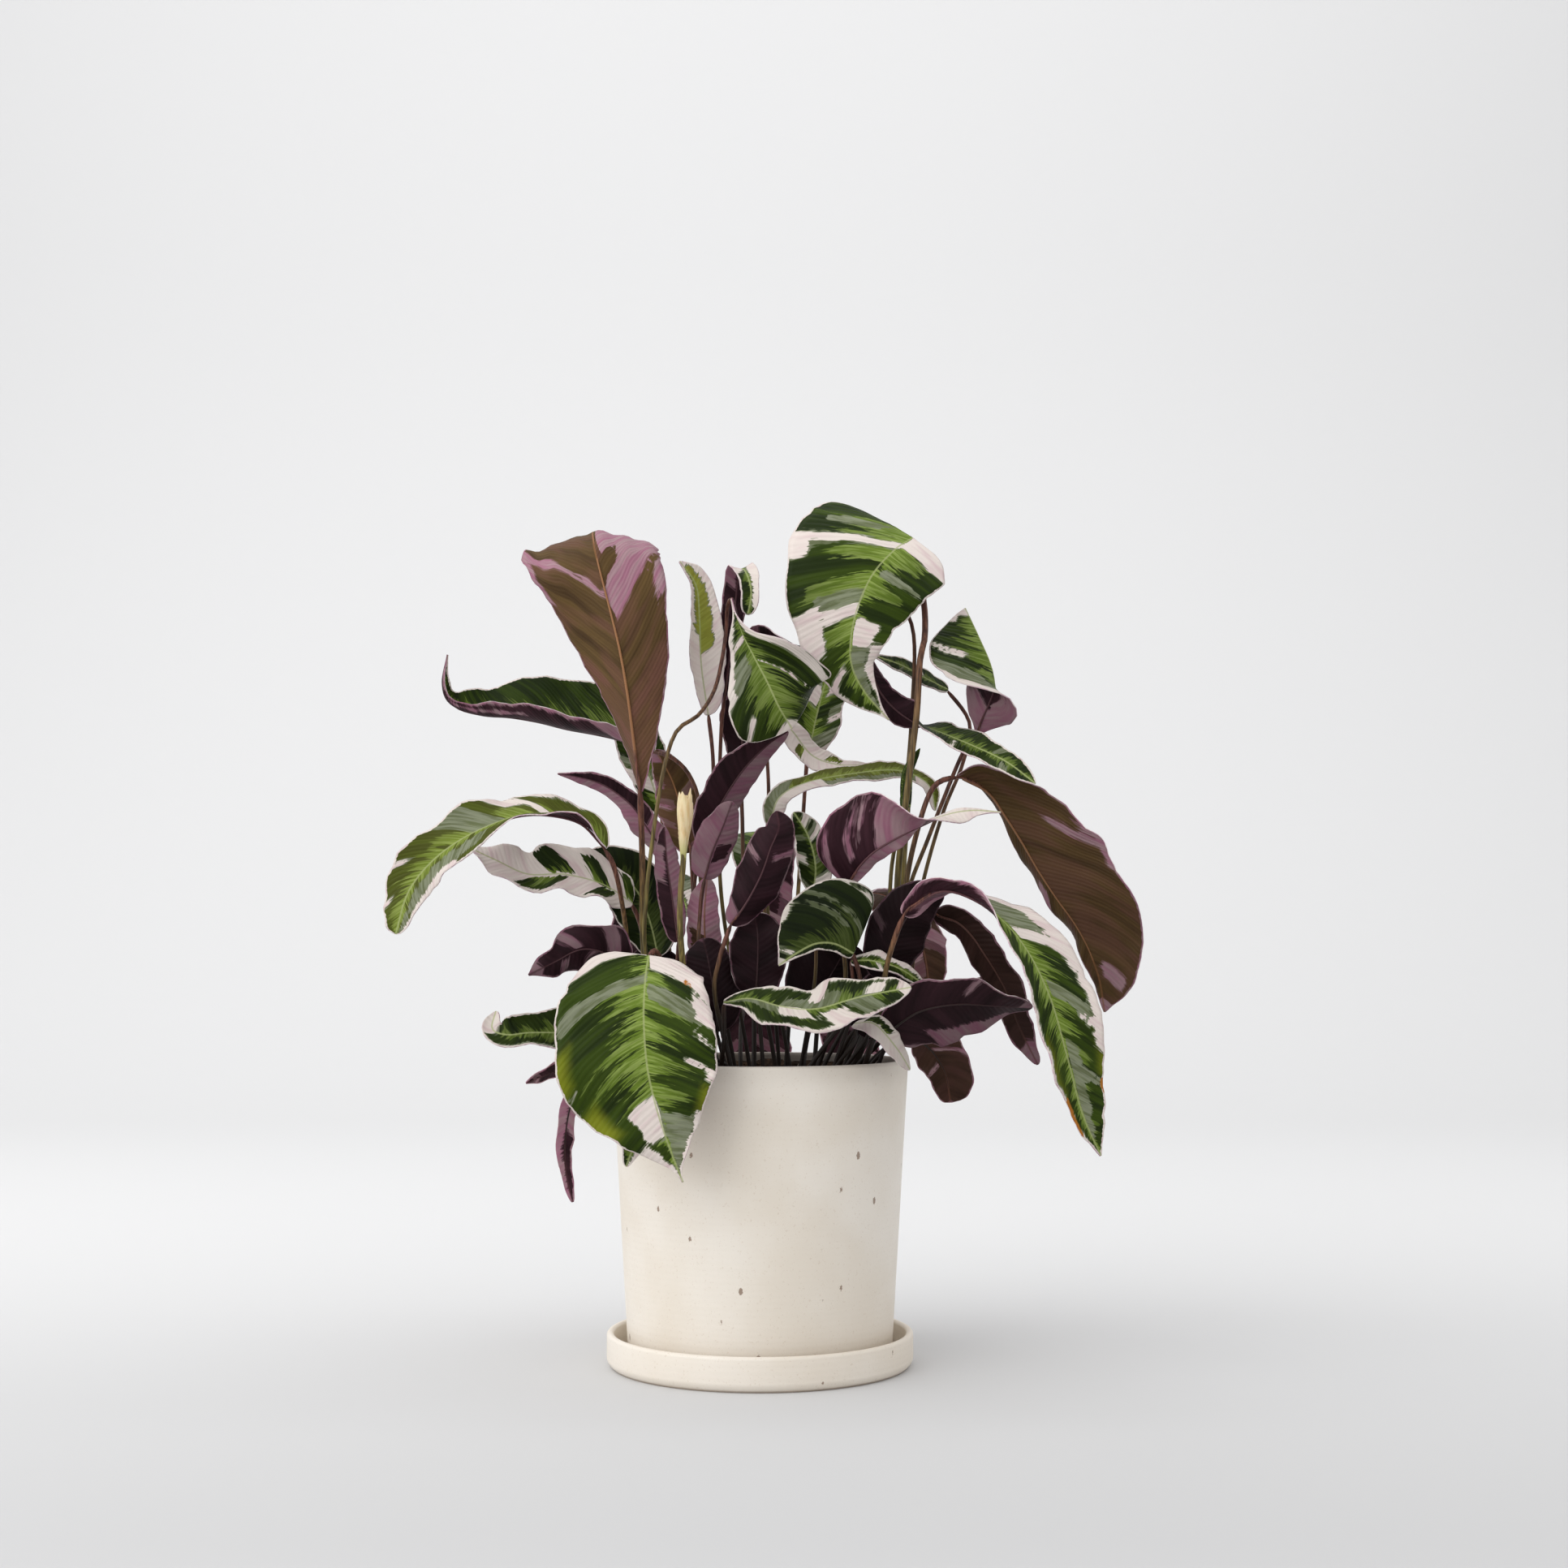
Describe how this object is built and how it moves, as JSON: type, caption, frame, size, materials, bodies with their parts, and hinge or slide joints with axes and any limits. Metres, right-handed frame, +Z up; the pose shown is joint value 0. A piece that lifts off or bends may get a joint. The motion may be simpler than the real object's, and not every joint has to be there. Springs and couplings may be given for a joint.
{
  "type": "potted calathea plant",
  "caption": "Potted variegated calathea with separate arching leaves on stalks, in a tapered stoneware pot standing on a round saucer.",
  "frame": {"origin": "centre of the saucer's flat underside, where the part stands", "axes": "+Z up along the pot's axis; the view in the picture looks along +Y, with +X to the right"},
  "size_m": [0.3964, 0.2797, 0.4695],
  "materials": {
    "stoneware": "satin",
    "soil": "matte",
    "leaf_green": "satin",
    "leaf_purple": "satin",
    "bud": "satin"
  },
  "bodies": {
    "root": {"saucer": "stoneware", "pot": "stoneware", "soil": "soil", "leaf_upright_left": "leaf_green", "leaf_left_high": "leaf_green", "leaf_left_arch": "leaf_green", "leaf_left_pale": "leaf_green", "leaf_left_dark": "leaf_purple", "leaf_left_mid": "leaf_green", "leaf_top_right": "leaf_green", "leaf_centre_face": "leaf_green", "leaf_small_curled": "leaf_green", "leaf_pale_upright": "leaf_green", "leaf_back_dark_edge": "leaf_purple", "leaf_diagonal_dark": "leaf_purple", "leaf_mauve_mid": "leaf_green", "leaf_thin_arch": "leaf_green", "leaf_back_pale": "leaf_green", "leaf_right_small_face": "leaf_green", "leaf_twisted_right": "leaf_green", "leaf_narrow_right": "leaf_green", "leaf_right_arch": "leaf_green", "leaf_mid_right_purple": "leaf_purple", "leaf_centre_purple": "leaf_purple", "leaf_small_behind": "leaf_green", "leaf_centre_dark_face": "leaf_purple", "leaf_centre_low": "leaf_green", "leaf_small_white_green": "leaf_green", "leaf_low_right_dark": "leaf_purple", "leaf_right_low_back": "leaf_green", "leaf_hanging_dark": "leaf_purple", "leaf_right_droop": "leaf_green", "leaf_back_low_right": "leaf_green", "leaf_lilac_low": "leaf_green", "leaf_low_green_edge": "leaf_green", "leaf_front_broad": "leaf_green", "leaf_small_tip": "leaf_green", "leaf_left_low": "leaf_green", "leaf_left_low_tip": "leaf_green", "leaf_left_hanging": "leaf_green", "leaf_left_mid_folded": "leaf_green", "leaf_lilac_vertical": "leaf_green", "leaf_brown_behind": "leaf_green", "leaf_pale_under": "leaf_green", "leaf_inner_round": "leaf_green", "leaf_back_left": "leaf_green", "leaf_back_middle": "leaf_green", "leaf_back_right": "leaf_green", "leaf_back_hang_left": "leaf_green", "leaf_back_hang_middle": "leaf_green", "leaf_back_hang_right": "leaf_green", "leaf_back_upright_left": "leaf_green", "leaf_back_upright_right": "leaf_green", "leaf_inner_left": "leaf_green", "leaf_inner_right": "leaf_green", "leaf_inner_back": "leaf_green", "leaf_inner_back_left": "leaf_green", "leaf_right_dark_base": "leaf_purple", "leaf_new_rolled": "leaf_green", "flower_bud": "bud"}
  },
  "joints": []
}
